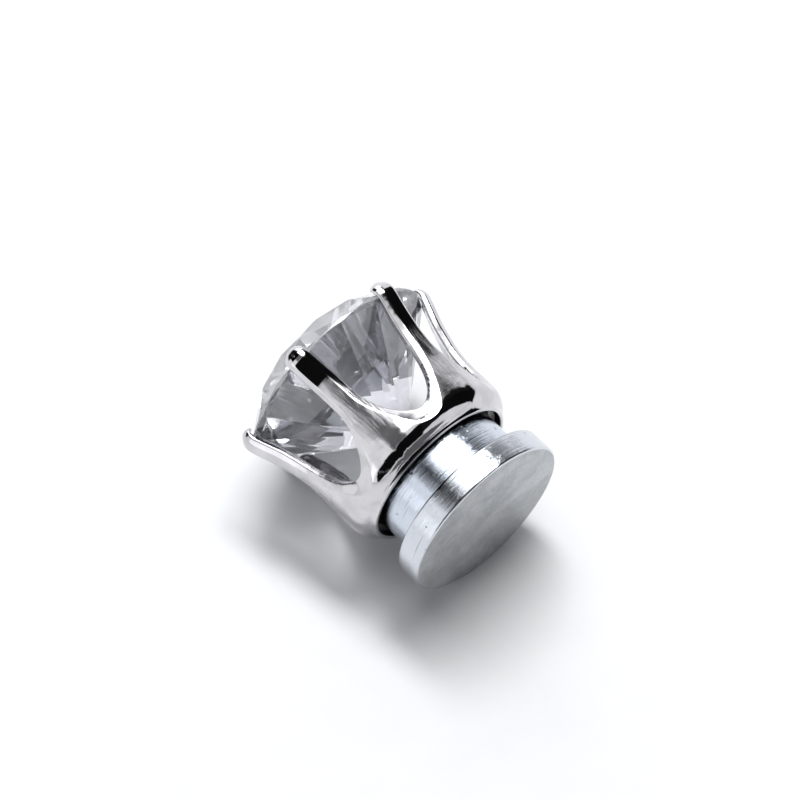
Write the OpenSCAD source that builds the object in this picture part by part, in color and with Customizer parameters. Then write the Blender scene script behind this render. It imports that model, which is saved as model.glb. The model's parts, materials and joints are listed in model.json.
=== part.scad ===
// Magnetic stud earring lying on its side: a round brilliant in a six-claw cup,
// a disc magnet glued into the cup's base, and a wider disc magnet that clips on behind the ear lobe.
// Millimetres. +Z is up, the stone faces -Y, and the surface that it lies on is z = 0.

/* [Stone] */
// Girdle diameter of the round brilliant
stone_d = 6; // [5.7:0.1:6.6]
// Width of the table across its corners, as a share of the girdle
table_share = 0.57; // [0.5:0.01:0.64]
// Slope of the eight crown mains, in degrees
crown_slope = 34.5; // [31:0.5:37]
// Slope of the eight pavilion mains, in degrees
pavilion_slope = 41; // [39:0.5:43]
// Height of the girdle at its thickest
girdle_h = 0.14; // [0.1:0.02:0.24]
// How far the star facets reach from the table towards the girdle
star_share = 0.5; // [0.4:0.05:0.6]
// How far the lower girdle facets reach from the girdle towards the culet
lower_share = 0.77; // [0.7:0.01:0.85]
// Width of the culet, the small facet at the point
culet_d = 0.08; // [0.04:0.02:0.2]

/* [Claw cup] */
// Outside diameter of the round wall where the claws begin to flare
cup_d = 5.5; // [5.4:0.02:5.8]
// How much narrower the wall is at its foot
foot_taper = 0.18; // [0.16:0.02:0.3]
// Thickness of the wall
cup_wall = 0.28; // [0.2:0.02:0.32]
// Radius of the rounded corner between base and wall
base_round = 0.58; // [0.3:0.02:0.6]
// Radius of the lip that turns in around the front magnet
lip_round = 0.12; // [0.08:0.02:0.26]
// Thickness of the base around the front magnet
base_h = 0.6; // [0.4:0.05:0.9]
// Height of the girdle's middle above the base
girdle_rise = 4.02; // [3.8:0.02:4.4]
// Number of claws
claw_count = 6; // [6:2:8]
// Width of a claw where it is straight
claw_w = 0.74; // [0.6:0.02:1]
// Thickness of a claw beside the girdle
claw_wall = 0.26; // [0.16:0.02:0.3]
// Rounding of a claw's outer corners
claw_round = 0.2; // [0.1:0.02:0.24]
// How far each tip bends in over the girdle
tip_reach = 0.26; // [0.16:0.02:0.36]
// Height of the notches' floor above the base
notch_rise = 0.86; // [0.7:0.02:1.2]
// Height above the base from which a claw is straight
claw_neck = 2.5; // [2.2:0.1:3.4]
// Height above the base at which the claws begin to flare
flare_start = 1.9; // [1.6:0.05:2.4]
// Lean of the flared claws just below the girdle, in degrees
flare_lean = 20; // [15:1:24]

/* [Magnets] */
// Diameter of the front magnet
front_magnet_d = 4; // [3.6:0.1:4.2]
// Thickness of the front magnet
front_magnet_h = 2; // [1.8:0.1:2.3]
// Length of the front magnet that stands out behind the cup
front_magnet_out = 1.04; // [0.8:0.02:1.3]
// Diameter of the back magnet
back_magnet_d = 5; // [4.4:0.1:5.2]
// Thickness of the back magnet
back_magnet_h = 0.75; // [0.6:0.05:1.2]
// Rounding of the magnets' edges
magnet_edge = 0.08; // [0.04:0.02:0.12]

/* [Fits] */
// Gap between the front magnet and the lip that holds it
magnet_fit = 0.02; // [0.01:0.01:0.05]
// Gap between the stone and the claws
stone_fit = 0.02; // [0.01:0.01:0.05]
// Gap between the two closed magnets
contact_gap = 0.01; // [0:0.01:0.05]

/* [Hidden] */
$fn = 96;

MAIN_FACETS = 8;
half_step = 180 / MAIN_FACETS;
quarter_step = half_step / 2;
reach = 20;

stone_r = stone_d / 2;
cup_r = cup_d / 2;
foot_r = cup_r - foot_taper / 2;
front_r = front_magnet_d / 2;
back_r = back_magnet_d / 2;

// Heights along the earring's own axis, from the back magnet's outer face
front_face = back_magnet_h + contact_gap;
base_face = front_face + front_magnet_out;
girdle_mid = base_face + girdle_rise;

// Radii of the claws: inside, outside, and where the tip ends
seat_r = stone_r + stone_fit;
claw_r = seat_r + claw_wall;
tip_r = stone_r - tip_reach;
bend_r = claw_wall + claw_round / 2;
bend_end = 75;
lip_r = front_r + magnet_fit;
// The base keeps at least this much flat between the lip's rounding and the corner
lip_flat = 0.02;
corner_r = min(base_round, foot_r - lip_r - lip_round - lip_flat);
wall_lean = atan((cup_r - foot_r) / (flare_start - corner_r));

// The main facets cut this far into the girdle, so that they end in a short edge
main_bite = 0.015;

// Facet geometry of the stone: radius and height of the points that set each tier of facets
table_r = table_share * stone_r;
table_edge_r = table_r * cos(half_step);
crown_h = (stone_r - table_r) * tan(crown_slope);
star_r = table_edge_r + star_share * (stone_r - table_edge_r);
star_h = (stone_r - star_r * cos(half_step)) * tan(crown_slope);
star_slope = atan((crown_h - star_h) / (star_r - table_edge_r));
upper_slope = atan(star_h / ((stone_r - star_r) * cos(quarter_step)));
lower_r = stone_r * (1 - lower_share);
lower_h = (stone_r - lower_r * cos(half_step)) * tan(pavilion_slope);
lower_slope = atan(lower_h / ((stone_r - lower_r) * cos(quarter_step)));
pavilion_h = (stone_r - culet_d / 2) * tan(pavilion_slope);
table_face = girdle_mid + girdle_h / 2 + crown_h;

// Heights of a claw tip above the base: its underside follows the facets beside the girdle
tip_under = girdle_rise + girdle_h / 2 + stone_fit + (seat_r - tip_r) * tan(upper_slope);
tip_top = tip_under + claw_wall / 2;

// The round end of a claw's outline starts this far below its tip, as a share of its width
dome_share = 0.45;

// How it lies: on two claws and on the cup's rounded corner, or on the back magnet if that is lower
claw_low_r = (claw_r - claw_round) * cos(180 / claw_count)
    + (claw_w / 2 - claw_round) * sin(180 / claw_count) + claw_round;
claw_low_z = girdle_mid - girdle_h;
cup_tilt = rest_angle(foot_r - corner_r, base_face + corner_r, corner_r);
magnet_tilt = rest_angle(back_r - magnet_edge, magnet_edge, magnet_edge);
rest_tilt = min(cup_tilt, magnet_tilt);
rest_height = claw_low_r * cos(rest_tilt) - claw_low_z * sin(rest_tilt);

// Tilt of the axis when the earring lies on its claws and on a ring of this round section
function rest_angle(ring_r, ring_z, round_r) =
    let (out = claw_low_r - ring_r, along = claw_low_z - ring_z)
    acos(round_r / norm([out, along])) - atan2(along, out);

// Points of an arc from angle a to angle b
function arc(centre, r, a, b, steps) =
    [for (i = [0:steps]) let (t = a + (b - a) * i / steps) centre + r * [cos(t), sin(t)]];

// The flare ends where the bend over the girdle takes on its lean
bend_centre = [claw_r - bend_r, girdle_rise];
flare_end = bend_centre + bend_r * [cos(flare_lean), -sin(flare_lean)];
flare_rise = flare_end[1] - flare_start;
flare_out = flare_end[0] - cup_r - flare_rise * tan(wall_lean);
flare_power = (tan(flare_lean) - tan(wall_lean)) * flare_rise / flare_out;

// Outside and inside radius of the wall at a height above the base
function flare(h) = pow(max(0, min(1, (h - flare_start) / flare_rise)), flare_power);
function outer_r(h) = cup_r + (h - flare_start) * tan(wall_lean) + flare_out * flare(h);
function inner_r(h) = outer_r(h) - cup_wall + (cup_wall - claw_wall) * flare(h);

// Half width of a claw at a height above the base: wide at the notch floor, straight from its neck
root_half = cup_r * sin(180 / claw_count);
neck_curve = 0.6;
root_curve = 2;
function claw_half(h) =
    let (u = max(0, min(1, (h - notch_rise) / (claw_neck - notch_rise))))
    claw_w / 2 + (root_half - claw_w / 2) * pow(1 - pow(u, neck_curve), root_curve);

// One facet: everything outside the plane that leans at slope through the point [r, z] is cut off
module facet_cut(slope, r, z) {
    translate([r, 0, z])
        rotate([0, slope, 0])
            translate([-reach / 2, -reach / 2, 0])
                cube(reach);
}

// A tier of facets around the stone, cut above the girdle or, mirrored, below it
module tier(slope, r, z, turns, below = false) {
    for (turn = turns)
        rotate([0, 0, turn])
            mirror([0, 0, below ? 1 : 0])
                facet_cut(slope, r, z);
}

module stone() {
    mains = [for (i = [0:MAIN_FACETS - 1]) i * 2 * half_step];
    halves = [for (turn = mains) turn + half_step];
    quarters = [for (turn = mains, side = [-1, 1]) turn + side * quarter_step];
    half_girdle = girdle_h / 2;
    color([0.86, 0.9, 0.95, 0.6])
        translate([0, 0, girdle_mid])
            difference() {
                translate([0, 0, -half_girdle - pavilion_h])
                    cylinder(r = stone_r, h = girdle_h + pavilion_h + crown_h);
                tier(crown_slope, stone_r - main_bite, half_girdle, mains);
                tier(star_slope, table_edge_r, half_girdle + crown_h, halves);
                tier(upper_slope, stone_r * cos(quarter_step), half_girdle, quarters);
                tier(pavilion_slope, stone_r - main_bite, half_girdle, mains, below = true);
                tier(lower_slope, stone_r * cos(quarter_step), half_girdle, quarters, below = true);
            }
}

// Section of the cup as if it had no notches, from the lip around the magnet to the bent claw tip
function cup_section() =
    let (
        steps = 12,
        rises = [for (i = [0:steps]) flare_start + flare_rise * i / steps],
        under = girdle_rise + girdle_h / 2 + stone_fit
    )
    concat(
        arc([lip_r + lip_round, lip_round], lip_round, 180, 270, 4),
        arc([foot_r - corner_r, corner_r], corner_r, 270, 360 - wall_lean, 6),
        [for (i = [0:steps - 1]) [outer_r(rises[i]), rises[i]]],
        arc(bend_centre, bend_r, -flare_lean, bend_end, 7),
        [[tip_r, tip_top]],
        [[tip_r, tip_under]],
        [[seat_r, under], [seat_r, girdle_rise - girdle_h / 2 - stone_fit]],
        [for (i = [steps:-1:0]) [inner_r(rises[i]), rises[i]]],
        [[inner_r(base_h), base_h], [lip_r, base_h]]
    );

// The outline of one claw seen from straight outside, down to the base
module claw_outline() {
    steps = 14;
    top = tip_top - dome_share * claw_w;
    rises = [for (i = [0:steps]) notch_rise + (claw_neck - notch_rise) * pow(i / steps, 2)];
    polygon(concat(
        [[claw_half(notch_rise), 0]],
        [for (h = rises) [claw_half(h), h]],
        arc([0, top], claw_w / 2, 0, 180, 12),
        [for (i = [steps:-1:0]) [-claw_half(rises[i]), rises[i]]],
        [[-claw_half(notch_rise), 0]]
    ));
}

// The plan of one claw seen along the axis: a bar with rounded outer corners
module claw_plan(inner_end) {
    corner = claw_r - claw_round;
    translate([inner_end, -claw_w / 2])
        square([corner - inner_end, claw_w]);
    translate([inner_end, -claw_w / 2 + claw_round])
        square([claw_r - inner_end, claw_w - 2 * claw_round]);
    for (side = [-1, 1])
        translate([corner, side * (claw_w / 2 - claw_round)])
            circle(claw_round, $fn = 32);
}

// Space that one claw may fill
module claw_space() {
    tip_start = girdle_rise + girdle_h / 2;
    rounded_end = tip_r + claw_w / 2;
    intersection() {
        rotate([90, 0, 90])
            linear_extrude(reach)
                claw_outline();
        union() {
            cylinder(r = reach / 2, h = claw_neck);
            translate([0, 0, notch_rise])
                linear_extrude(tip_start - notch_rise)
                    claw_plan(0);
            translate([0, 0, notch_rise])
                linear_extrude(reach - notch_rise) {
                    claw_plan(rounded_end);
                    translate([rounded_end, 0])
                        circle(claw_w / 2, $fn = 48);
                }
        }
    }
}

module claw_cup() {
    color([0.84, 0.84, 0.85])
        translate([0, 0, base_face])
            intersection() {
                rotate_extrude()
                    polygon(cup_section());
                union() {
                    cylinder(r = reach, h = notch_rise);
                    for (i = [0:claw_count - 1])
                        rotate([0, 0, i * 360 / claw_count])
                            claw_space();
                }
            }
}

// A disc with rounded edges
module disc(r, h) {
    rotate_extrude()
        polygon(concat(
            [[0, 0]],
            arc([r - magnet_edge, magnet_edge], magnet_edge, 270, 360, 3),
            arc([r - magnet_edge, h - magnet_edge], magnet_edge, 0, 90, 3),
            [[0, h]]
        ));
}

module front_magnet() {
    color([0.72, 0.76, 0.82])
        translate([0, 0, front_face])
            disc(front_r, front_magnet_h);
}

module back_magnet() {
    color([0.76, 0.78, 0.8])
        disc(back_r, back_magnet_h);
}

// Turns a piece from its upright axis to the way that the earring lies
module lying() {
    translate([0, table_face / 2 * cos(rest_tilt), rest_height])
        rotate([90 - rest_tilt, 0, 0])
            children();
}

lying() claw_cup();
lying() stone();
lying() front_magnet();
lying() back_magnet();
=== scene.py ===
"""Looks of the magnetic stud earring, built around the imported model.

Lengths are in millimetres and angles in degrees unless said.
"""

import json
import math

import bmesh
import bpy
import numpy as np
from mathutils import Matrix, Vector


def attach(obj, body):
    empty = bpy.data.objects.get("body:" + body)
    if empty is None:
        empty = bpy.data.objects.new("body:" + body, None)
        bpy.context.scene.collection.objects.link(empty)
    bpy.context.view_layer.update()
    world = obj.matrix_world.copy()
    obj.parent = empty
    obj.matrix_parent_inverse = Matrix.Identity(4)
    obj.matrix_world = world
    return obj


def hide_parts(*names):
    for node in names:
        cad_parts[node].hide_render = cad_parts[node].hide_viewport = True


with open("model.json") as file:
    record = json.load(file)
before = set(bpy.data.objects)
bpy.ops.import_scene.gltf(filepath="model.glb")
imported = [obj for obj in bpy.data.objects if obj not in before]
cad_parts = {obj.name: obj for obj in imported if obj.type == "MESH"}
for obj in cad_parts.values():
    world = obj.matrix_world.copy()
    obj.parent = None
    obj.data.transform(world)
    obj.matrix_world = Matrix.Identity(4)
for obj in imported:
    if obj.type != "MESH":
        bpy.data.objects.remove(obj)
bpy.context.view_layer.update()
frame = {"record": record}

# Metres in a millimetre and in a thousandth of one
MM = 0.001
MICRON = 0.000001

# Sizes that repeat the part's own
CLAWS = 6
SECTOR = 2 * math.pi / CLAWS
STONE_R = 3.0
TABLE_SHARE = 0.57
CROWN_SLOPE = 34.5
PAVILION_SLOPE = 41.0
GIRDLE_H = 0.14
STAR_SHARE = 0.5
LOWER_SHARE = 0.77
CULET_D = 0.08
MAIN_BITE = 0.015
BASE_Z = 1.8
GIRDLE_RISE = 4.02
FOOT_R = 2.66
FOOT_LEAN = 3.7
CUP_WALL = 0.28
CLAW_R = 3.28
FRONT_MAGNET_R = 2.0
FRONT_MAGNET_BACK = 0.76
FRONT_MAGNET_H = 2.0
BACK_MAGNET_R = 2.5
BACK_MAGNET_H = 0.75
MAGNET_EDGE = 0.07

# Form of the claws: the bend over the girdle, the flare below it, and the notches between them
BEND_R = 0.41
HOOK_LEAN = 94.0
HOOK_WALL = 0.15
HOOK_TAPER = 0.9
FLARE_LEAN = 21.0
FLARE_HEIGHTS = (1.7, 2.6, 3.1, 3.3, 3.9)
FLARE_LEANS = (FOOT_LEAN, 13.0, 17.0, 20.0, FLARE_LEAN)
CLAW_HALF = 0.36
NECK_HALF = 0.385
DOME = 0.68
NECK_H = 2.4
NOTCH_H = 0.88
NOTCH_FALL = 1.6
NOTCH_POWER = 1.75

# Angle by which each claw's tip was pushed round when it was bent over the stone, and from what height up
CLAW_TURNS = (0.0, 0.0, 0.0, -9.0, 2.0, -2.0)
PUSH_H = 1.2

# Base of the cup: its rounded corner ends at a small bead, a groove runs between the bead and the magnet,
# and a collar with a rounded top stands inside
BASE_ROUND = 0.68
CORNER_END_R = 2.32
BEAD_R = 0.065
BEAD_FROM = 340
GROOVE_R = 2.19
GROOVE_DEPTH = 0.26
GROOVE_STRAIGHT = 0.7
GROOVE_ROUND = 0.02
COLLAR_R = 2.012
COLLAR_TOP = 0.5
COLLAR_ROUND = 0.06
COLLAR_BACK = 0.4
SEAT_R = COLLAR_R + 0.16
SEAT_H = 0.34

# Worn edges of the stamping: depth and width of the bevel, and the small rounding of its rims
TIP_BEVEL = (0.12, 0.26)
CLAW_BEVEL = (0.11, 0.165)
NOTCH_BEVEL = (0.16, 0.5)
TIP_END = 0.4
TIP_FADE = 0.6
NOTCH_ONSET = 6
BEVEL_SOFTNESS = 0.12
RIM_ROUND = 0.03
INNER_ROUND = 0.045
INNER_STEP = 0.15

# Points in the cup's lines and rows. A row over the bevel is spaced by shares of the bevel's reach
BEND_POINTS = 120
WALL_POINTS = 280
CORNER_POINTS = 80
CURVE_POINTS = 200
EDGE_POINTS = 150
RIM_ANGLES = (0, 22.5, 45, 67.5, 90)
INNER_ANGLES = (0, 30, 60, 90)
BEVEL_SHARES = (0.25, 0.43, 0.56, 0.63, 0.68, 0.71, 0.75, 0.8, 0.87, 1.0)
BEVEL_REACH = 1.4
ROW_SHARE = 0.75
OUTER_STEPS = 6
INNER_STEPS = 8
BEAD_POINTS = 14
COLLAR_POINTS = 9

# Rows from a claw's edge meet its centre line squarely. Rows from nearer the tip than the spread are spaced
# out from the dome's end on, and the first of them swing from along the line to square over the turn's length
ACROSS = 90.0
ROWS_SPREAD = 1.2
DOME_END = 0.35
TURN_IN = 0.5

# From a little above the neck to the corner, rows lean over to a slant. The rest end on the base line, and
# come straight down to it from a third of the way on
ABOVE_NECK = 0.2
SLANTING = 45.0
TURN_DOWN = 3

# Distance within which vertices are one, and length under which an edge goes
WELD = 0.00001
SLIVER = 0.000001

# The stone's facets, the cylinder that they are cut from, and the fine bevel of their polished edges
MAIN_FACETS = 8
BLANK_SEGMENTS = 120
BLANK_H = 8
CUT_MERGE = 0.000001
POLISHED_EDGE = 0.006
FACET_ANGLE = 4
GIRDLE_NORMAL = 0.05

# Rings of the discs' flat faces as shares of the radius, and rings of the side as shares of the height
FACE_RINGS = (0, 0.4, 0.8, 0.93)
SIDE_RINGS = (0.3, 0.5, 0.7)
EDGE_RINGS = 9
DISC_SEGMENTS = 256
FACE_NORMAL = 0.97

# The photo's view: the camera's angles, the frame's width, and where the back disc's centre falls in it
CAMERA_AZIMUTH = 138.6
CAMERA_ELEVATION = 57.6
CAMERA_ROLL = -1.6
CAMERA_DISTANCE = 300.0
CAMERA_CLIP = (0.01, 10)
FRAME_PIXELS = 800
PIXELS_PER_MM = 37.9
BACK_CENTRE_PIXEL = (486.6, 519.1)
SENSOR = 36.0


def upright_to_row():
    """Matrix from the earring's own upright axes, in millimetres, to the row frame, in metres."""
    mount = next(m for m in frame["record"]["mounts"] if m["name"] == "back_face")
    along = -Vector(mount["axis"]).normalized()
    across = Vector((1, 0, 0))
    up = along.cross(across)
    turn = Matrix((across, up, along)).transposed().to_4x4()
    return Matrix.Translation(mount["pos_m"]) @ turn @ Matrix.Scale(MM, 4)


LYING = upright_to_row()


def smooth(t):
    """Smooth step from 0 to 1."""
    t = np.clip(t, 0, 1)
    return t * t * (3 - 2 * t)


def arc(centre, radius, start, end, count):
    """Points of an arc from one angle to another."""
    angles = np.radians(np.linspace(start, end, count))
    return np.stack([centre[0] + radius * np.cos(angles), centre[1] + radius * np.sin(angles)], 1)


def lengths_along(line):
    """Length from the start of a line to each of its points."""
    steps = np.linalg.norm(np.diff(line, axis=0), axis=1)
    return np.concatenate([[0], np.cumsum(steps)])


def new_object(name, data):
    """An object in the scene."""
    obj = bpy.data.objects.new(name, data)
    bpy.context.scene.collection.objects.link(obj)
    return obj


def add_piece(name, verts, faces, material):
    """A smooth mesh object given in upright millimetres, with its origin on the earring's axis."""
    mesh = bpy.data.meshes.new(name)
    mesh.from_pydata([tuple(v) for v in verts], [], [tuple(f) for f in faces])
    obj = new_object(name, mesh)
    obj.matrix_world = LYING
    mesh.materials.append(material)
    work = bmesh.new()
    work.from_mesh(mesh)
    bmesh.ops.remove_doubles(work, verts=work.verts, dist=WELD)
    bmesh.ops.dissolve_degenerate(work, edges=work.edges, dist=SLIVER)
    bmesh.ops.recalc_face_normals(work, faces=work.faces)
    for face in work.faces:
        face.smooth = True
    work.to_mesh(mesh)
    work.free()
    return obj


# The claw cup

def cup_outer_line():
    """Outside line of the cup from a claw's end to the base: points, outward normals and lengths."""
    bend = arc((CLAW_R - BEND_R, GIRDLE_RISE), BEND_R, HOOK_LEAN, -FLARE_LEAN, BEND_POINTS)
    corner_centre = np.array([FOOT_R - BASE_ROUND, BASE_ROUND])
    corner_end = math.degrees(math.acos((CORNER_END_R - corner_centre[0]) / BASE_ROUND))
    corner = arc(corner_centre, BASE_ROUND, -FOOT_LEAN, -corner_end, CORNER_POINTS)
    top = bend[-1]
    heights = np.linspace(top[1], corner[0, 1], WALL_POINTS)
    slopes = np.tan(np.radians(np.interp(heights, FLARE_HEIGHTS, FLARE_LEANS)))
    steps = (slopes[1:] + slopes[:-1]) / 2 * -np.diff(heights)
    inward = np.concatenate([[0], np.cumsum(steps)])
    radius = top[0] - inward * (top[0] - corner[0, 0]) / inward[-1]
    wall = np.stack([radius, heights], 1)[1:-1]
    line = np.concatenate([bend, wall, corner])
    length = lengths_along(line)
    tangent = np.gradient(line, length, axis=0)
    tangent /= np.linalg.norm(tangent, axis=1)[:, None]
    normal = np.stack([-tangent[:, 1], tangent[:, 0]], 1)
    return line, normal, length


LINE, LINE_NORMAL, LINE_LENGTH = cup_outer_line()
LINE_END = LINE_LENGTH[-1]


def length_at(height):
    """Length along the cup's outside line at a height above the base."""
    return np.interp(-height, -LINE[:, 1], LINE_LENGTH)


def across_radius(s):
    """Radius on which the distance across is measured: the wall's own, and below the notches theirs."""
    return np.interp(np.minimum(s, length_at(NOTCH_H)), LINE_LENGTH, LINE[:, 0])


def on_sheet(x, s, depth):
    """Point at x across and s along the cup's outside, at a depth below it."""
    r = np.interp(s, LINE_LENGTH, LINE[:, 0])
    h = np.interp(s, LINE_LENGTH, LINE[:, 1])
    nr = np.interp(s, LINE_LENGTH, LINE_NORMAL[:, 0])
    nh = np.interp(s, LINE_LENGTH, LINE_NORMAL[:, 1])
    angle = x / across_radius(s)
    radius = r - nr * depth
    return np.stack([radius * np.cos(angle), radius * np.sin(angle), BASE_Z + h - nh * depth], -1)


def sheet_wall(s):
    """Thickness of the sheet, thinner in the hooked end of a claw."""
    return HOOK_WALL + (CUP_WALL - HOOK_WALL) * smooth(s / HOOK_TAPER)


def claw_outline():
    """Half a claw's edge from its tip to the middle of the notch, as x across and s along, evenly spaced."""
    t = np.linspace(0, 1, CURVE_POINTS)
    quarter = t * math.pi / 2
    dome = np.stack([CLAW_HALF * np.sin(quarter), DOME * (1 - np.cos(quarter))], 1)
    t = t[1:]
    side_s = DOME + (length_at(NECK_H) - DOME) * t
    side = np.stack([CLAW_HALF + (NECK_HALF - CLAW_HALF) * smooth(t), side_s], 1)
    fall = 1 - t**NOTCH_FALL
    full = 1 - (1 - (1 - fall) ** NOTCH_POWER) ** (1 / NOTCH_POWER)
    notch_s = length_at(NOTCH_H + (NECK_H - NOTCH_H) * fall)
    widest = across_radius(notch_s[-1]) * SECTOR / 2
    notch = np.stack([NECK_HALF + (widest - NECK_HALF) * full, notch_s], 1)
    line = np.concatenate([dome, side, notch])
    length = lengths_along(line)
    want = np.linspace(0, length[-1], EDGE_POINTS)
    even = np.stack([np.interp(want, length, line[:, 0]), np.interp(want, length, line[:, 1])], 1)
    return even, want


def row_starts():
    """The edge's points, the lengths along it, the ways inwards from it, and where its neck and corner are.

    Rows up to the corner end on the claw's centre line, and the others on the base line.
    """
    edge, along = claw_outline()
    tangent = np.gradient(edge, along, axis=0)
    tangent[0] = (1, 0)
    tangent[-1] = (1, 0)
    tangent /= np.linalg.norm(tangent, axis=1)[:, None]
    inward = np.stack([-tangent[:, 1], tangent[:, 0]], 1)
    neck = int(np.argmin(np.abs(edge[:, 1] - length_at(NECK_H + ABOVE_NECK))))
    turned = (np.arange(len(edge)) > neck) & (tangent[:, 0] > tangent[:, 1])
    corner = int(np.argmax(turned))
    return edge, along, inward, neck, corner


def row_targets(edge, along, neck, corner):
    """Where each row ends, on the claw's centre line and then on the base line, and how it arrives there."""
    ends = np.zeros((len(edge), 2))
    arrive = np.full(len(edge), ACROSS)
    for k, s in enumerate(edge[:, 1]):
        if k <= neck:
            spread = DOME_END + s * (ROWS_SPREAD - DOME_END) / ROWS_SPREAD
            ends[k] = (0, spread if s < ROWS_SPREAD else s)
            arrive[k] = ACROSS * float(smooth(s / TURN_IN))
        elif k <= corner:
            t = (along[k] - along[neck]) / (along[corner] - along[neck])
            ends[k] = (0, edge[neck, 1] + (LINE_END - edge[neck, 1]) * t)
            arrive[k] = ACROSS - SLANTING * float(smooth(t))
        else:
            t = (along[k] - along[corner]) / (along[-1] - along[corner])
            ends[k] = (across_radius(LINE_END) * SECTOR / 2 * t, LINE_END)
            arrive[k] = SLANTING - SLANTING * float(smooth(t * TURN_DOWN))
    turn = np.radians(arrive)
    return ends, np.stack([-np.sin(turn), np.cos(turn)], 1)


def bevel_at(edge):
    """Depth and width of the bevel at each point of the edge, and how far it is a straight slope there."""
    s = edge[:, 1]
    neck = length_at(NECK_H)
    to_claw = smooth((s - TIP_END) / TIP_FADE)
    to_notch = np.clip((s - neck) / (length_at(NOTCH_H) - neck), 0, 1) ** NOTCH_ONSET
    sizes = []
    for tip, claw, notch in zip(TIP_BEVEL, CLAW_BEVEL, NOTCH_BEVEL):
        sizes.append(tip + (claw - tip) * to_claw + (notch - claw) * to_notch)
    return sizes[0], sizes[1], to_claw


def row_points(start, inward, end, arrival, straight, inner_steps):
    """Points along one row: straight in from the edge at the given distances, then a curve to its end."""
    points = [start + inward * d for d in straight]
    first = points[-1]
    reach = np.linalg.norm(end - first) / 3
    a = first + inward * reach
    b = end - arrival * reach
    for t in np.linspace(0, 1, inner_steps + 1)[1:]:
        u = 1 - t
        points.append(u**3 * first + 3 * t * u**2 * a + 3 * t * t * u * b + t**3 * end)
    return np.array(points)


def base_section():
    """Section of the base from the end of its corner to its inside, as radii and heights."""
    return np.concatenate([
        [LINE[-1]],
        arc((GROOVE_R + BEAD_R, BEAD_R), BEAD_R, BEAD_FROM, 180, BEAD_POINTS),
        [[GROOVE_R, GROOVE_STRAIGHT * GROOVE_DEPTH], [GROOVE_R - GROOVE_ROUND, GROOVE_DEPTH]],
        [[COLLAR_R + GROOVE_ROUND, GROOVE_DEPTH], [COLLAR_R, GROOVE_DEPTH + GROOVE_ROUND]],
        arc((COLLAR_R + COLLAR_ROUND, COLLAR_TOP), COLLAR_ROUND, 180, 0, COLLAR_POINTS),
        [[COLLAR_R + 2 * COLLAR_ROUND, COLLAR_BACK]],
        [[SEAT_R, SEAT_H]],
    ])


def sheet_row(start, inward, end, arrival, depth, width, straight):
    """Points of one row: over the outside to the edge, round it, and back over the inside."""
    rim = np.radians(RIM_ANGLES)
    reach = min(BEVEL_REACH * width, ROW_SHARE * np.linalg.norm(end - start))
    outer_d = np.concatenate([RIM_ROUND * (1 - np.cos(rim)), reach * np.array(BEVEL_SHARES)])
    outer = row_points(start, inward, end, arrival, outer_d, OUTER_STEPS)
    beyond = np.linalg.norm(outer[len(outer_d):] - outer[len(outer_d) - 1], axis=1)
    left = 1 - np.concatenate([outer_d, outer_d[-1] + beyond]) / width
    slope = (left + np.sqrt(left**2 + BEVEL_SOFTNESS**2)) / 2
    dome = np.maximum(left, 0) ** 2
    sink = depth * (straight * slope + (1 - straight) * dome)
    sink[:len(rim)] += RIM_ROUND * (1 - np.sin(rim))
    rim = np.radians(INNER_ANGLES)
    inner_d = np.concatenate([INNER_ROUND * (1 - np.cos(rim)), [INNER_STEP]])
    inner = row_points(start, inward, end, arrival, inner_d, INNER_STEPS)
    wall = sheet_wall(inner[:, 1])
    wall[:len(rim)] -= INNER_ROUND * (1 - np.sin(rim)) * wall[:len(rim)] / CUP_WALL
    outside = on_sheet(outer[:, 0], outer[:, 1], sink)
    inside = on_sheet(inner[:, 0], inner[:, 1], wall)
    return np.concatenate([outside[::-1], inside])


def cup_grids():
    """Grids of points over a twelfth of the cup: half a claw with half a notch, and the base below it."""
    edge, along, inward, neck, corner = row_starts()
    ends, arrival = row_targets(edge, along, neck, corner)
    sheet = np.array([sheet_row(*row) for row in zip(edge, inward, ends, arrival, *bevel_at(edge))])
    angles = ends[corner:, 0] / across_radius(LINE_END)
    section = base_section()
    radii = np.append(section[:, 0], section[-1, 0])
    heights = np.append(section[:, 1], section[-1, 1])
    base = np.zeros((len(angles), len(radii), 3))
    base[:, :, 0] = radii * np.cos(angles)[:, None]
    base[:, :, 1] = radii * np.sin(angles)[:, None]
    base[:, :, 2] = BASE_Z + heights
    base[:, 0] = sheet[corner:, 0]
    base[:, -1] = sheet[corner:, -1]
    return [sheet, base]


def grid_faces(rows, columns, first):
    """Quads of a grid of vertices that starts at index first."""
    quads = []
    for i in range(rows - 1):
        for j in range(columns - 1):
            a = first + i * columns + j
            quads.append((a, a + 1, a + columns + 1, a + columns))
    return quads


def make_cup(material):
    """The whole cup from the grids of a twelfth, with each claw pushed round by its own angle."""
    verts = []
    faces = []
    for grid in cup_grids():
        flat = grid.reshape(-1, 3)
        for side in (1, -1):
            x, y, z = (flat * (1, side, 1)).T
            pushed = smooth((z - BASE_Z - PUSH_H) / (GIRDLE_RISE - PUSH_H))
            for claw in range(CLAWS):
                turn = claw * SECTOR + math.radians(CLAW_TURNS[claw]) * pushed
                c = np.cos(turn)
                s = np.sin(turn)
                faces += grid_faces(grid.shape[0], grid.shape[1], sum(len(v) for v in verts))
                verts.append(np.stack([x * c - y * s, x * s + y * c, z], 1))
    return add_piece("claw_cup_polished", np.concatenate(verts), faces, material)


# The stone

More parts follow.
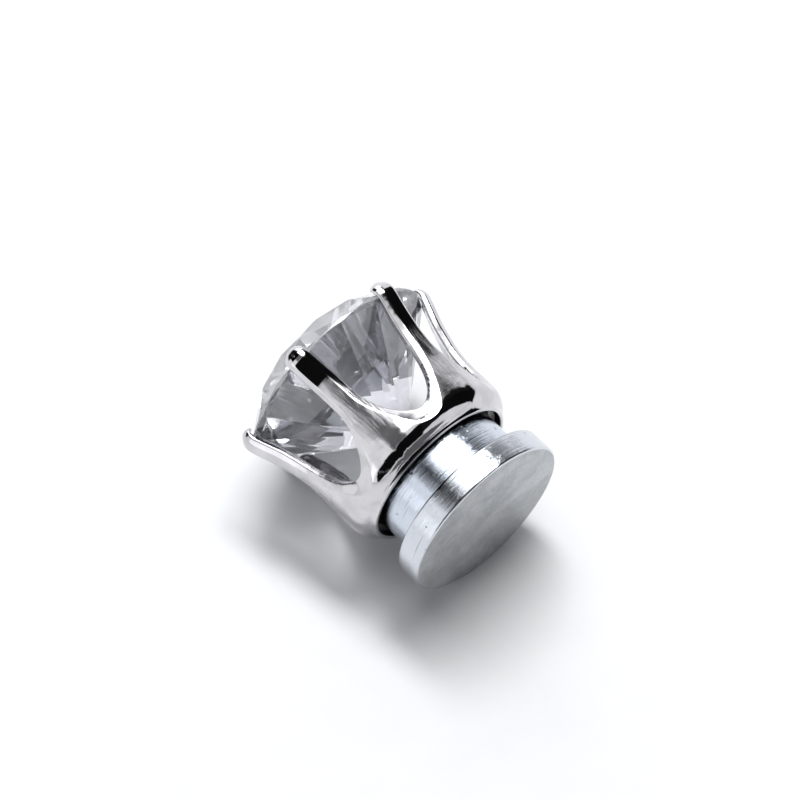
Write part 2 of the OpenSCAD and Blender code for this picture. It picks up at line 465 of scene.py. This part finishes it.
def facet_planes():
    """Each facet of the brilliant as a point and an outward normal, heights from the girdle's middle."""
    half_step = math.pi / MAIN_FACETS
    quarter = half_step / 2
    girdle = GIRDLE_H / 2
    table_r = TABLE_SHARE * STONE_R
    table_edge = table_r * math.cos(half_step)
    crown = math.radians(CROWN_SLOPE)
    crown_h = (STONE_R - table_r) * math.tan(crown)
    star_r = table_edge + STAR_SHARE * (STONE_R - table_edge)
    star_h = (STONE_R - star_r * math.cos(half_step)) * math.tan(crown)
    star = math.atan((crown_h - star_h) / (star_r - table_edge))
    upper = math.atan(star_h / ((STONE_R - star_r) * math.cos(quarter)))
    pavilion = math.radians(PAVILION_SLOPE)
    lower_r = STONE_R * (1 - LOWER_SHARE)
    lower_h = (STONE_R - lower_r * math.cos(half_step)) * math.tan(pavilion)
    lower = math.atan(lower_h / ((STONE_R - lower_r) * math.cos(quarter)))
    culet_h = (STONE_R - CULET_D / 2) * math.tan(pavilion)
    main_r = STONE_R - MAIN_BITE
    edge_r = STONE_R * math.cos(quarter)
    planes = [((0, 0, girdle + crown_h), (0, 0, 1)), ((0, 0, -girdle - culet_h), (0, 0, -1))]
    for i in range(MAIN_FACETS):
        main = 2 * i * half_step
        tiers = [
            (crown, main_r, girdle, main, 1),
            (star, table_edge, girdle + crown_h, main + half_step, 1),
            (upper, edge_r, girdle, main - quarter, 1),
            (upper, edge_r, girdle, main + quarter, 1),
            (pavilion, main_r, girdle, main, -1),
            (lower, edge_r, girdle, main - quarter, -1),
            (lower, edge_r, girdle, main + quarter, -1),
        ]
        for slope, r, z, turn, side in tiers:
            c = math.cos(turn)
            s = math.sin(turn)
            point = (r * c, r * s, side * z)
            normal = (math.sin(slope) * c, math.sin(slope) * s, side * math.cos(slope))
            planes.append((point, normal))
    return planes


def make_stone(facet_material, girdle_material):
    """The brilliant, cut plane by plane from a cylinder, with its edges finely bevelled."""
    mesh = bpy.data.meshes.new("stone_brilliant")
    work = bmesh.new()
    bmesh.ops.create_cone(
        work, cap_ends=True, segments=BLANK_SEGMENTS, radius1=STONE_R, radius2=STONE_R, depth=BLANK_H
    )
    for point, normal in facet_planes():
        cut = bmesh.ops.bisect_plane(
            work,
            geom=work.verts[:] + work.edges[:] + work.faces[:],
            plane_co=point,
            plane_no=normal,
            clear_outer=True,
            dist=CUT_MERGE,
        )
        rim = [e for e in cut["geom_cut"] if isinstance(e, bmesh.types.BMEdge)]
        bmesh.ops.holes_fill(work, edges=rim)
    bmesh.ops.recalc_face_normals(work, faces=work.faces)
    for face in work.faces:
        face.smooth = False
        face.material_index = 1 if abs(face.normal.z) < GIRDLE_NORMAL else 0
    bmesh.ops.translate(work, verts=work.verts, vec=(0, 0, BASE_Z + GIRDLE_RISE))
    work.to_mesh(mesh)
    work.free()
    mesh.materials.append(facet_material)
    mesh.materials.append(girdle_material)
    obj = new_object("stone_brilliant", mesh)
    obj.matrix_world = LYING
    edges = obj.modifiers.new("polished_edges", "BEVEL")
    edges.width = POLISHED_EDGE
    edges.segments = 1
    edges.limit_method = "ANGLE"
    edges.angle_limit = math.radians(FACET_ANGLE)
    edges.material = 0
    return obj


# The disc magnets

def make_disc(name, radius, low, high, side_material, face_material):
    """A plated disc with rounded edges, as a body of revolution about the earring's axis."""
    e = MAGNET_EDGE
    rings = np.concatenate([
        [[share * radius, low] for share in FACE_RINGS],
        arc((radius - e, low + e), e, 270, 360, EDGE_RINGS),
        [[radius, low + (high - low) * share] for share in SIDE_RINGS],
        arc((radius - e, high - e), e, 0, 90, EDGE_RINGS),
        [[share * radius, high] for share in reversed(FACE_RINGS)],
    ])
    turn = np.linspace(0, 2 * math.pi, DISC_SEGMENTS, endpoint=False)
    verts = np.stack([
        np.outer(rings[:, 0], np.cos(turn)),
        np.outer(rings[:, 0], np.sin(turn)),
        np.repeat(rings[:, 1][:, None], DISC_SEGMENTS, 1),
    ], -1).reshape(-1, 3)
    faces = []
    for ring in range(len(rings) - 1):
        here = ring * DISC_SEGMENTS
        above = here + DISC_SEGMENTS
        for j in range(DISC_SEGMENTS):
            k = (j + 1) % DISC_SEGMENTS
            faces.append((here + j, here + k, above + k, above + j))
    obj = add_piece(name, verts, faces, side_material)
    obj.data.materials.append(face_material)
    for polygon in obj.data.polygons:
        polygon.material_index = 1 if abs(polygon.normal.z) > FACE_NORMAL else 0
    return obj


# Materials

# Colours between which each material varies, the cup groove's painted shade, the dark colour of the discs'
# scratches and pits and of their painted shade, and the specks on the face
PLATING_TINTS = ((0.58, 0.57, 0.585), (0.69, 0.68, 0.695))
GROOVE_PAINTED_SHADE = (0.02, 0.02, 0.022)
FRONT_SIDE_TINTS = ((0.56, 0.61, 0.69), (0.70, 0.75, 0.83))
BACK_SIDE_TINTS = ((0.60, 0.63, 0.68), (0.73, 0.76, 0.81))
SIDE_MARKS_AND_SHADE = (0.025, 0.03, 0.04)
SATIN_TINTS = ((0.35, 0.365, 0.38), (0.59, 0.605, 0.62))
SATIN_SPECKS = (0.12, 0.125, 0.13)
CRYSTAL_TINTS = ((0.83, 0.835, 0.90), (0.90, 0.905, 0.94))
GIRDLE_COLOUR = (0.93, 0.94, 0.97)
GROUND_TINTS = ((0.62, 0.625, 0.635), (0.66, 0.665, 0.67))

# The painted shade in the cup's groove ends between these radii and these heights
GROOVE_SHADE_R = (GROOVE_R - 0.01, GROOVE_R + 0.03)
GROOVE_SHADE_Z = (BASE_Z + 0.5, BASE_Z + 0.6)

# The claws' roots are less polished than the base and the tips: heights between which that comes and goes
ROOT_COMES = (2.5, 3.2)
ROOT_GOES = (4.3, 5.0)
POLISH = 0.045

# Radians by which noise is turned out of line with flat faces, which would otherwise show its own grid
NOISE_SLANT = (0.6, 0.4, 0.9)

# Height of the band of painted shade on the back disc's front edge, where it meets the front disc, and a
# height that no disc reaches, which leaves a disc without that painted shade
SHADED_RIM = 0.02
NO_PAINTED_SHADE = 10.0


class Nodes:
    """A short way to add and join nodes in one material or world."""

    def __init__(self, tree):
        self.tree = tree

    def add(self, kind, **settings):
        node = self.tree.nodes.new(kind)
        for key, value in settings.items():
            setattr(node, key, value)
        return node

    def link(self, source, target):
        self.tree.links.new(source, target)

    def feed(self, value, target):
        """Gives an input a number, a colour or another node's output."""
        if isinstance(value, (int, float)):
            target.default_value = value
        elif isinstance(value, tuple):
            target.default_value = (*value, 1)
        else:
            self.link(value, target)

    def math(self, operation, *values, clamp=False):
        node = self.add("ShaderNodeMath", operation=operation, use_clamp=clamp)
        for value, socket in zip(values, node.inputs):
            self.feed(value, socket)
        return node.outputs[0]

    def vector(self, *values):
        node = self.add("ShaderNodeCombineXYZ")
        for value, socket in zip(values, node.inputs):
            self.feed(value, socket)
        return node.outputs[0]

    def noise(self, vector, scale=1.0, detail=3.0, roughness=0.5):
        node = self.add("ShaderNodeTexNoise")
        node.inputs["Scale"].default_value = scale
        node.inputs["Detail"].default_value = detail
        node.inputs["Roughness"].default_value = roughness
        self.link(vector, node.inputs["Vector"])
        return node.outputs["Fac"]

    def position(self):
        """Place on the object: in millimetres on the earring's pieces, in metres on the ground."""
        return self.add("ShaderNodeTexCoord").outputs["Object"]

    def slanted_position(self):
        node = self.add("ShaderNodeVectorRotate", rotation_type="EULER_XYZ")
        self.link(self.position(), node.inputs["Vector"])
        node.inputs["Rotation"].default_value = NOISE_SLANT
        return node.outputs["Vector"]

    def drawn_out(self, turn, z, per_turn, per_mm, third):
        """Place for noise that is drawn out round the axis or along it, by how fast it changes in each."""
        return self.vector(self.math("MULTIPLY", turn, per_turn), self.math("MULTIPLY", z, per_mm), third)

    def ramp(self, factor, low, high, out_low=0.0, out_high=1.0):
        """Smooth step between two values as the factor goes from low to high."""
        node = self.add("ShaderNodeMapRange", interpolation_type="SMOOTHSTEP")
        self.link(factor, node.inputs["Value"])
        for key, value in (("From Min", low), ("From Max", high), ("To Min", out_low), ("To Max", out_high)):
            node.inputs[key].default_value = value
        return node.outputs["Result"]

    def fall(self, factor, low, high):
        """Smooth step down from 1 to 0 as the factor goes from low to high."""
        return self.ramp(factor, low, high, 1.0, 0.0)

    def blend(self, factor, first, second):
        """Colour that goes from the first to the second with the factor."""
        node = self.add("ShaderNodeMix", data_type="RGBA")
        self.link(factor, node.inputs["Factor"])
        self.feed(first, node.inputs["A"])
        self.feed(second, node.inputs["B"])
        return node.outputs["Result"]

    def bump(self, height, microns, strength, normal=None):
        node = self.add("ShaderNodeBump")
        node.inputs["Strength"].default_value = strength
        node.inputs["Distance"].default_value = microns * MICRON
        self.link(height, node.inputs["Height"])
        if normal is not None:
            self.link(normal, node.inputs["Normal"])
        return node.outputs["Normal"]


def new_material(name):
    """A material, its nodes and its shader."""
    material = bpy.data.materials.new(name)
    material.use_nodes = True
    tree = material.node_tree
    return material, Nodes(tree), tree.nodes["Principled BSDF"]


def around_axis(n):
    """Coordinates round the earring's axis: position, radius, turn in radians and height."""
    position = n.position()
    parts = n.add("ShaderNodeSeparateXYZ")
    n.link(position, parts.inputs[0])
    x, y, z = parts.outputs
    radius = n.math("SQRT", n.math("ADD", n.math("MULTIPLY", x, x), n.math("MULTIPLY", y, y)))
    turn = n.math("ARCTAN2", y, x)
    return position, radius, turn, z


def polished_plating():
    """Bright tumbled plating of the cup: fine draw lines along the claws, soft waves, hairlines, and painted
    shade in the groove round the magnet.
    """
    material, n, shader = new_material("polished_plating")
    position, radius, turn, z = around_axis(n)
    lines = n.noise(n.drawn_out(turn, z, per_turn=42.0, per_mm=1.3, third=radius), detail=4.0, roughness=0.6)
    hairs = n.noise(n.drawn_out(turn, z, per_turn=9.0, per_mm=34.0, third=radius), detail=2.0)
    waves = n.noise(position, scale=1.6, detail=2.0)
    tint = n.blend(n.ramp(waves, 0.36, 0.64), *PLATING_TINTS)
    # Painted shade: the groove round the magnet and the collar are darkened to near black, for the shadow in
    # that recess
    groove_shade_mask = n.math("MULTIPLY", n.fall(radius, *GROOVE_SHADE_R), n.fall(z, *GROOVE_SHADE_Z))
    n.link(n.blend(groove_shade_mask, tint, GROOVE_PAINTED_SHADE), shader.inputs["Base Color"])
    root = n.math("MULTIPLY", n.ramp(z, *ROOT_COMES), n.fall(z, *ROOT_GOES))
    grain = n.ramp(lines, 0.35, 0.7, 0.05, 0.34)
    n.link(n.math("MULTIPLY_ADD", root, grain, POLISH), shader.inputs["Roughness"])
    soft = n.bump(waves, microns=20, strength=0.5)
    by_root = n.math("MULTIPLY", lines, n.math("ADD", root, 0.25))
    drawn = n.bump(by_root, microns=6, strength=0.6, normal=soft)
    n.link(n.bump(hairs, microns=1.2, strength=0.5, normal=drawn), shader.inputs["Normal"])
    shader.inputs["Metallic"].default_value = 1.0
    return material


def plated_side(name, tints, rim_z, groove_z):
    """Nickel plating on a disc's rim: scratches round it, pits, and painted shade on its front edge and where
    it enters the cup's groove.
    """
    material, n, shader = new_material(name)
    position, _, turn, z = around_axis(n)
    fine = n.noise(n.drawn_out(turn, z, per_turn=2.4, per_mm=60.0, third=0.0), detail=5.0, roughness=0.65)
    long = n.noise(n.drawn_out(turn, z, per_turn=0.9, per_mm=17.0, third=3.0), roughness=0.6)
    score = n.noise(n.drawn_out(turn, z, per_turn=1.3, per_mm=26.0, third=7.0), detail=1.0)
    speck = n.noise(position, scale=9.0, roughness=0.7)
    pits = n.fall(n.noise(position, scale=5.5, detail=1.0), 0.22, 0.3)
    cuts = n.ramp(score, 0.66, 0.74)
    # Painted shade: a patchy band on the back disc's front edge, where it meets the front disc, and the front
    # disc's side inside the cup's groove
    rim_shade = n.math("MULTIPLY", n.ramp(z, rim_z - 0.05, rim_z), n.ramp(long, 0.35, 0.6, 0.1, 1.0))
    painted_shade = n.math("MAXIMUM", n.ramp(z, groove_z, groove_z + 0.12), n.math("MULTIPLY", rim_shade, 0.85))
    marked = n.math("MAXIMUM", n.math("MULTIPLY", n.math("MAXIMUM", cuts, pits), 0.6), painted_shade)
    n.link(n.blend(marked, n.blend(speck, *tints), SIDE_MARKS_AND_SHADE), shader.inputs["Base Color"])
    n.link(n.ramp(long, 0.3, 0.75, 0.03, 0.09), shader.inputs["Roughness"])
    pitted = n.bump(pits, microns=20, strength=0.5)
    scored = n.bump(long, microns=11, strength=0.6, normal=pitted)
    n.link(n.bump(fine, microns=5.5, strength=0.8, normal=scored), shader.inputs["Normal"])
    shader.inputs["Metallic"].default_value = 1.0
    shader.inputs["Anisotropic"].default_value = 0.35
    shader.inputs["Anisotropic Rotation"].default_value = 0.25
    tangent = n.add("ShaderNodeTangent", direction_type="RADIAL", axis="Z")
    n.link(tangent.outputs[0], shader.inputs["Tangent"])
    return material


def satin_face():
    """Flat face of a disc: satin nickel, cloudy with handling marks and fine grain."""
    material, n, shader = new_material("satin_face")
    position = n.slanted_position()
    clouds = n.noise(position, scale=1.1, detail=4.0, roughness=0.6)
    grain = n.noise(position, scale=26.0, detail=4.0, roughness=0.7)
    marks = n.noise(position, scale=6.0, detail=5.0, roughness=0.7)
    cloudy = n.math("ADD", n.ramp(clouds, 0.36, 0.64, 0.0, 0.5), n.ramp(marks, 0.4, 0.6, 0.0, 0.3))
    cloudy = n.math("ADD", cloudy, n.ramp(grain, 0.42, 0.58, 0.0, 0.2))
    specks = n.ramp(n.noise(position, scale=4.3, roughness=0.6), 0.66, 0.72, 0.0, 0.45)
    n.link(n.blend(specks, n.blend(cloudy, *SATIN_TINTS), SATIN_SPECKS), shader.inputs["Base Color"])
    n.link(n.ramp(marks, 0.3, 0.7, 0.34, 0.5), shader.inputs["Roughness"])
    marked = n.bump(marks, microns=8, strength=0.6)
    n.link(n.bump(grain, microns=10, strength=0.9, normal=marked), shader.inputs["Normal"])
    shader.inputs["Metallic"].default_value = 1.0
    return material


def crystal():
    """Clear cut crystal, a little hazy in clouds."""
    material, n, shader = new_material("crystal")
    position = n.slanted_position()
    n.link(n.ramp(n.noise(position, scale=2.0), 0.3, 0.8, 0.0, 0.02), shader.inputs["Roughness"])
    haze = n.ramp(n.noise(position, scale=3.0, detail=4.0, roughness=0.6), 0.35, 0.65)
    n.link(n.blend(haze, *CRYSTAL_TINTS), shader.inputs["Base Color"])
    shader.inputs["Transmission Weight"].default_value = 0.93
    shader.inputs["IOR"].default_value = 1.85
    return material


def ground_girdle():
    """The stone's girdle, ground to a frosted band."""
    material, n, shader = new_material("ground_girdle")
    grain = n.noise(n.slanted_position(), scale=40.0)
    n.link(n.bump(grain, microns=4, strength=0.6), shader.inputs["Normal"])
    n.link(n.ramp(grain, 0.3, 0.7, 0.3, 0.5), shader.inputs["Roughness"])
    n.feed(GIRDLE_COLOUR, shader.inputs["Base Color"])
    shader.inputs["Transmission Weight"].default_value = 0.85
    shader.inputs["IOR"].default_value = 2.1
    return material


def white_ground():
    """Matt white sheet with a barely visible grain."""
    material, n, shader = new_material("white_ground")
    grain = n.noise(n.position(), scale=900.0, detail=4.0)
    n.link(n.blend(grain, *GROUND_TINTS), shader.inputs["Base Color"])
    n.link(n.bump(grain, microns=20, strength=0.2), shader.inputs["Normal"])
    shader.inputs["Roughness"].default_value = 0.7
    return material


# Camera and floor

# Half the side of the floor, in metres
FLOOR_HALF = 1.5


def camera_axes():
    """The photo camera's right, up and backward directions in the row frame."""
    azimuth = math.radians(CAMERA_AZIMUTH)
    elevation = math.radians(CAMERA_ELEVATION)
    back = Vector((
        math.sin(azimuth) * math.cos(elevation),
        -math.cos(azimuth) * math.cos(elevation),
        math.sin(elevation),
    ))
    level = Vector((0, 0, 1)).cross(back).normalized()
    roll = math.radians(CAMERA_ROLL)
    right = level * math.cos(roll) + back.cross(level) * math.sin(roll)
    return right, back.cross(right), back


def make_camera():
    """The camera, placed so that the back disc's centre falls where the photo has it."""
    right, up, back = camera_axes()
    to_right = (FRAME_PIXELS / 2 - BACK_CENTRE_PIXEL[0]) / PIXELS_PER_MM
    to_top = (BACK_CENTRE_PIXEL[1] - FRAME_PIXELS / 2) / PIXELS_PER_MM
    target = LYING.translation + (right * to_right + up * to_top) * MM
    data = bpy.data.cameras.new("camera")
    data.sensor_width = SENSOR
    data.sensor_fit = "HORIZONTAL"
    data.lens = SENSOR * CAMERA_DISTANCE / (FRAME_PIXELS / PIXELS_PER_MM)
    data.clip_start, data.clip_end = CAMERA_CLIP
    obj = new_object("camera", data)
    place = Matrix((right, up, back)).transposed().to_4x4()
    obj.matrix_world = Matrix.Translation(target + back * CAMERA_DISTANCE * MM) @ place
    bpy.context.scene.camera = obj


def make_floor():
    """The white surface that the earring lies on."""
    mesh = bpy.data.meshes.new("floor")
    signs = ((-1, -1), (1, -1), (1, 1), (-1, 1))
    mesh.from_pydata([(x * FLOOR_HALF, y * FLOOR_HALF, 0) for x, y in signs], [], [(0, 1, 2, 3)])
    mesh.materials.append(white_ground())
    floor = new_object("floor", mesh)


# Light

# Directions are given by a turn round the earring's axis, 90 being towards the camera, and a lean towards
# the stone. This is the angle between the turn's zero and the direction across the earring
TURN_ZERO = 157.9

# Dark openings of the tent, and lamps in it: the turn from and to; the lower and the upper lean, each at the
# first and at the last turn; softness of the border; how dark or how bright
DARK_ZONES = [
    (62, 138, (-56, -52), (-9, -13), 1.5, 0.995),
    (138, 156, (-52, -38), (-13, -34), 1.5, 0.995),
    (36, 64, (-36, -48), (-3, -8), 1.5, 0.99),
    (-27, 40, (-30, -36), (4, 4), 1.5, 0.995),
    (-23, 36, (2, 2), (13.5, 13.5), 2.0, 0.99),
    (58, 190, (44, 44), (90, 90), 2.0, 0.99),
    (2, 38, (12, 12), (36, 36), 3.0, 0.62),
    (85, 107, (-10, -10), (14, 14), 1.5, 0.85),
    (81, 117, (14, 14), (46, 46), 1.0, 1.0),
    (10, 165, (-90, -90), (-57, -57), 3.0, 0.85),
]
LAMP_ZONES = [
    (42, 84, (3, 3), (42, 42), 2.0, 1.8),
    (42, 62, (-2, -2), (4, 4), 1.5, 1.6),
    (8, 60, (38, 38), (70, 70), 4.0, 1.6),
    (136, 165, (-12, -12), (14, 14), 4.0, 0.6),
]
TENT_COLOUR = (0.97, 0.975, 1.0)

# How far the zones' borders are frayed, over what stretch, and which stretch of the noise is taken
FRAY_TURN = (8.0, 3.0, 4.0)
FRAY_LEAN = (5.0, 2.2, 9.0)


def toward(turn, lean):
    """Row-frame direction at a turn and a lean."""
    angle = math.radians(TURN_ZERO - turn)
    tilt = math.radians(lean)
    local = Vector((math.cos(tilt) * math.cos(angle), math.cos(tilt) * math.sin(angle), math.sin(tilt)))
    return (LYING.to_3x3() @ local).normalized()


def frayed(n, value, along_value, size, stretch, seed):
    """The value pushed to and fro along the other one, for the frayed borders of cloth."""
    place = n.vector(n.math("DIVIDE", along_value, stretch), seed, 0.0)
    push = n.noise(place, detail=2.0, roughness=0.6)
    return n.math("ADD", value, n.math("MULTIPLY", n.math("SUBTRACT", push, 0.5), size))


def turn_and_lean(n):
    """Turn and lean of the direction in which the tent is seen, frayed."""
    direction = n.add("ShaderNodeTexCoord").outputs["Generated"]
    parts = []
    for axis in (toward(0, 0), toward(90, 0), toward(0, 90)):
        node = n.add("ShaderNodeVectorMath", operation="DOT_PRODUCT")
        n.link(direction, node.inputs[0])
        node.inputs[1].default_value = axis
        parts.append(node.outputs["Value"])
    side, front, axial = parts
    turn = n.math("MULTIPLY", n.math("ARCTAN2", front, side), 180 / math.pi)
    lean = n.math("MULTIPLY", n.math("ARCSINE", axial), 180 / math.pi)
    return frayed(n, turn, lean, *FRAY_TURN), frayed(n, lean, turn, *FRAY_LEAN)


def border(n, value, limit, inside, soft):
    """The inside value, 0 or 1, above a limit, and the other one below it, with a soft border."""
    return n.ramp(n.math("SUBTRACT", value, limit), -soft, soft, 1.0 - inside, inside)


def zone(n, turn, lean, from_turn, to_turn, low, high, soft):
    """1 within two turns and between two leans, each lean given at the first and at the last turn."""
    share = n.math("DIVIDE", n.math("SUBTRACT", turn, from_turn), to_turn - from_turn, clamp=True)
    after_first = border(n, turn, from_turn, 1.0, soft)
    before_last = border(n, turn, to_turn, 0.0, soft)
    mask = n.math("MULTIPLY", after_first, before_last)
    for (at_first, at_last), inside in ((low, 1.0), (high, 0.0)):
        limit = n.math("MULTIPLY_ADD", share, at_last - at_first, at_first)
        mask = n.math("MULTIPLY", mask, border(n, lean, limit, inside, soft))
    return mask


def make_world():
    """A white light tent with a few dark openings, which polished metal and facets reflect."""
    world = bpy.data.worlds.new("tent")
    bpy.context.scene.world = world
    world.use_nodes = True
    n = Nodes(world.node_tree)
    turn, lean = turn_and_lean(n)
    light = 1.0
    for *edges, dark in DARK_ZONES:
        mask = zone(n, turn, lean, *edges)
        light = n.math("MULTIPLY", light, n.math("SUBTRACT", 1.0, n.math("MULTIPLY", mask, dark)))
    for *edges, bright in LAMP_ZONES:
        mask = zone(n, turn, lean, *edges)
        light = n.math("ADD", light, n.math("MULTIPLY", mask, bright))
    backdrop = world.node_tree.nodes["Background"]
    n.link(light, backdrop.inputs["Strength"])
    n.feed(TENT_COLOUR, backdrop.inputs["Color"])


def make_lamp(name, turn, lean, distance, size, watts):
    """A rectangular lamp that faces the earring, with its size round the axis and along it."""
    data = bpy.data.lights.new(name, "AREA")
    data.shape = "RECTANGLE"
    data.size = size[0] * MM
    data.size_y = size[1] * MM
    data.energy = watts
    obj = new_object(name, data)
    out = toward(turn, lean)
    across = (LYING.to_3x3() @ Vector((0, 0, 1))).cross(out).normalized()
    place = Matrix((across, out.cross(across), out)).transposed().to_4x4()
    obj.matrix_world = Matrix.Translation(out * distance * MM) @ place


# The scene

make_camera()
make_floor()
make_world()
make_lamp("overhead", turn=48, lean=18, distance=300, size=(70, 190), watts=0.83)

cup = make_cup(polished_plating())
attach(cup, "front")
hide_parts("claw_cup")

stone = make_stone(crystal(), ground_girdle())
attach(stone, "front")
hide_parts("stone")

face_metal = satin_face()
front_disc = make_disc(
    "front_magnet_plated",
    FRONT_MAGNET_R,
    FRONT_MAGNET_BACK,
    FRONT_MAGNET_BACK + FRONT_MAGNET_H,
    plated_side("front_side", FRONT_SIDE_TINTS, NO_PAINTED_SHADE, BASE_Z),
    face_metal,
)
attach(front_disc, "front")
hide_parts("front_magnet")

back_disc = make_disc(
    "back_magnet_plated",
    BACK_MAGNET_R,
    0.0,
    BACK_MAGNET_H,
    plated_side("back_side", BACK_SIDE_TINTS, BACK_MAGNET_H - SHADED_RIM, NO_PAINTED_SHADE),
    face_metal,
)
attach(back_disc, "back")
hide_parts("back_magnet")

bpy.context.scene.view_settings.view_transform = "Standard"
